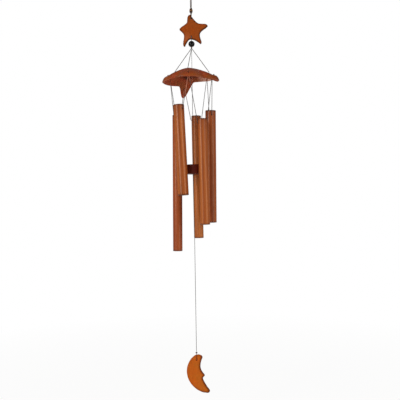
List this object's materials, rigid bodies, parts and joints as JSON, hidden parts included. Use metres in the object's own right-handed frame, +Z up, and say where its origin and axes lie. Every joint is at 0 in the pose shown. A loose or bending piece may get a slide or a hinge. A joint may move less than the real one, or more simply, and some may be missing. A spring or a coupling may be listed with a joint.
{
  "type": "wind chime",
  "caption": "Hanging wind chime: bamboo tubes on strings under an arched star-shaped shell canopy, with a wooden star above, a clapper between the tubes and a crescent moon sail below.",
  "frame": {"origin": "inside top of the hanging loop, where it hangs on its hook", "axes": "+Z up along the hanging axis, +X to the right seen from the front, -Y towards the viewer"},
  "size_m": [0.1169, 0.1063, 0.8428],
  "materials": {
    "brown_cord": "twisted brown cord",
    "dark_cord": "thin dark nylon cord",
    "star_wood": "stained and varnished, dark edge",
    "moon_wood": "stained and varnished, dark edge",
    "black_bead": "gloss black",
    "shell": "varnished coconut shell",
    "bamboo": "carbonised bamboo, varnished",
    "dark_wood": "dark stained wood"
  },
  "bodies": {
    "hanger": {"hanger_loop": "brown_cord", "hanger_knot": "brown_cord", "star_sling": "brown_cord"},
    "star": {"star_plate": "star_wood"},
    "link": {"bead_link": "dark_cord"},
    "crown": {"bead": "black_bead", "gather_knot": "dark_cord", "canopy_shell": "shell", "suspension_cord_left": "dark_cord", "suspension_cord_right": "dark_cord", "suspension_cord_rear": "dark_cord", "suspension_knot_left": "dark_cord", "suspension_knot_right": "dark_cord", "suspension_knot_rear": "dark_cord", "string_knot_left": "dark_cord", "string_knot_front": "dark_cord", "string_knot_right": "dark_cord", "string_knot_rear_right": "dark_cord", "string_knot_rear": "dark_cord"},
    "string_front_left": {"tube_string_front_left": "dark_cord"},
    "tube_front_left": {"bamboo_tube_front_left": "bamboo"},
    "string_rear_left": {"tube_string_rear_left": "dark_cord"},
    "tube_rear_left": {"bamboo_tube_rear_left": "bamboo"},
    "string_rear": {"tube_string_rear": "dark_cord"},
    "tube_rear": {"bamboo_tube_rear": "bamboo"},
    "string_right": {"tube_string_right": "dark_cord"},
    "tube_right": {"bamboo_tube_right": "bamboo"},
    "string_front_right": {"tube_string_front_right": "dark_cord"},
    "tube_front_right": {"bamboo_tube_front_right": "bamboo"},
    "clapper_line": {"clapper_line": "dark_cord"},
    "clapper": {"clapper_cord": "dark_cord", "clapper_disc": "dark_wood", "clapper_knot": "dark_cord"},
    "sail_cord": {"sail_cord": "dark_cord"},
    "sail_knot": {"sail_knot": "dark_cord", "sail_sling": "dark_cord"},
    "moon": {"moon_sail": "moon_wood"}
  },
  "joints": [
    {"name": "star_swing", "type": "hinge", "parent": "hanger", "child": "star", "pos_m": [0, 0, -0.0643], "axis": [0, -1, 0], "range_deg": [-10, 10]},
    {"name": "link_swing", "type": "hinge", "parent": "star", "child": "link", "pos_m": [0, 0, -0.1005], "axis": [0, -1, 0], "range_deg": [-5, 5]},
    {"name": "crown_twist", "type": "hinge", "parent": "link", "child": "crown", "pos_m": [0, 0, -0.1098], "axis": [0, 0, 1], "range_deg": [-60, 60]},
    {"name": "swing_front_left", "type": "hinge", "parent": "crown", "child": "string_front_left", "pos_m": [-0.02636, -0.02399, -0.18829], "axis": [0.6785, -0.7332, -0.0456], "range_deg": [-18, 0.73]},
    {"name": "tilt_front_left", "type": "hinge", "parent": "string_front_left", "child": "tube_front_left", "pos_m": [-0.02791, -0.02231, -0.25589], "axis": [0.6781, -0.7328, 0.0558], "range_deg": [-12, 0.88]},
    {"name": "swing_rear_left", "type": "hinge", "parent": "crown", "child": "string_rear_left", "pos_m": [-0.03188, 0.01933, -0.19449], "axis": [-0.5301, -0.7988, 0.2845], "range_deg": [-18, 1.17]},
    {"name": "tilt_rear_left", "type": "hinge", "parent": "string_rear_left", "child": "tube_rear_left", "pos_m": [-0.033, 0.01764, -0.27139], "axis": [-0.5529, -0.8331, 0.0192], "range_deg": [-12, 1.56]},
    {"name": "swing_rear", "type": "hinge", "parent": "crown", "child": "string_rear", "pos_m": [0.00704, 0.03842, -0.19205], "axis": [-0.9173, 0.0997, -0.3855], "range_deg": [-18, 1.36]},
    {"name": "tilt_rear", "type": "hinge", "parent": "string_rear", "child": "tube_rear", "pos_m": [0.00704, 0.03842, -0.27039], "axis": [-0.9941, 0.108, -0.007], "range_deg": [-12, 1.82]},
    {"name": "swing_right", "type": "hinge", "parent": "crown", "child": "string_right", "pos_m": [0.03655, 0.01031, -0.18574], "axis": [0.192, -0.9708, -0.1436], "range_deg": [-1.05, 18]},
    {"name": "tilt_right", "type": "hinge", "parent": "string_right", "child": "tube_right", "pos_m": [0.03733, 0.00636, -0.26439], "axis": [0.1938, -0.9804, -0.0349], "range_deg": [-1.37, 12]},
    {"name": "swing_front_right", "type": "hinge", "parent": "crown", "child": "string_front_right", "pos_m": [0.01759, -0.03035, -0.18949], "axis": [-0.8446, -0.5354, -0.0038], "range_deg": [-0.8, 18]},
    {"name": "tilt_front_right", "type": "hinge", "parent": "string_front_right", "child": "tube_front_right", "pos_m": [0.01946, -0.02916, -0.2859], "axis": [-0.8445, -0.5354, -0.0157], "range_deg": [-1.26, 12]},
    {"name": "clapper_swing_front", "type": "hinge", "parent": "crown", "child": "clapper_line", "pos_m": [0, 0, -0.125], "axis": [-1, 0, 0], "range_deg": [-0.9, 0.9]},
    {"name": "clapper_swing_side", "type": "hinge", "parent": "clapper_line", "child": "clapper", "pos_m": [0, 0, -0.1683], "axis": [0, -1, 0], "range_deg": [-1.2, 1.2]},
    {"name": "sail_swing", "type": "hinge", "parent": "clapper", "child": "sail_cord", "pos_m": [0, 0, -0.3891], "axis": [0, -1, 0], "range_deg": [-15, 15]},
    {"name": "sail_twist", "type": "hinge", "parent": "sail_cord", "child": "sail_knot", "pos_m": [0, 0, -0.7578], "axis": [0, 0, 1], "range_deg": [-180, 180]},
    {"name": "moon_swing", "type": "hinge", "parent": "sail_knot", "child": "moon", "pos_m": [0, 0, -0.7738], "axis": [0, -1, 0], "range_deg": [-20, 20]}
  ]
}
